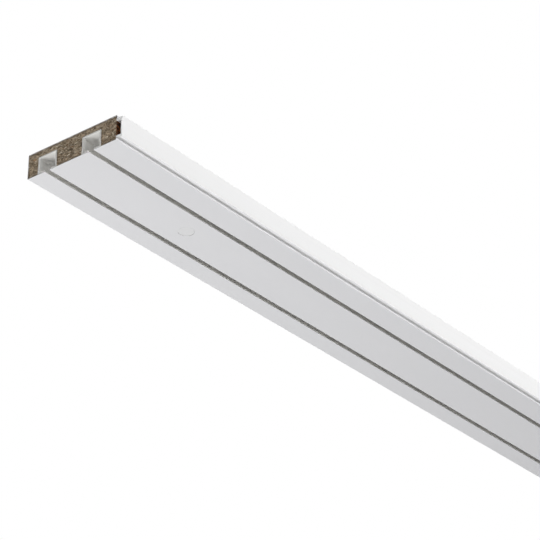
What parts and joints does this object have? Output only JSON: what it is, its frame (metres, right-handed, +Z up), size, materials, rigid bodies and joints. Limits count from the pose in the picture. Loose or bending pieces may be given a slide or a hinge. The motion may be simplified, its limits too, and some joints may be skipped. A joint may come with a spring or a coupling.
{
  "type": "curtain track",
  "caption": "Straight ceiling curtain track: film-wrapped chipboard bar with parallel lined glider channels, a hollow front fascia and flush caps over its screw holes.",
  "frame": {"origin": "on the ceiling face, on the axis of the middle screw hole, half way along the track", "axes": "+X along the track, +Z up to the ceiling, -Y out of the fascia into the room"},
  "size_m": [1.2, 0.0854, 0.019],
  "materials": {
    "chipboard": "sawn raw chipboard, coarse flakes and dark specks",
    "white_film": "smooth white satin film",
    "channel_plastic": "extruded white plastic, satin",
    "fascia_plastic": "extruded white plastic, smooth satin",
    "cap_plastic": "moulded white plastic"
  },
  "bodies": {
    "root": {"core_board": "chipboard", "front_channel_liner": "channel_plastic", "rear_channel_liner": "channel_plastic", "rear_film_wrap": "white_film", "middle_film_strip": "white_film", "front_film_strip": "white_film", "front_fascia": "fascia_plastic", "hole_cap_1": "cap_plastic", "hole_cap_2": "cap_plastic", "hole_cap_3": "cap_plastic"}
  },
  "joints": []
}
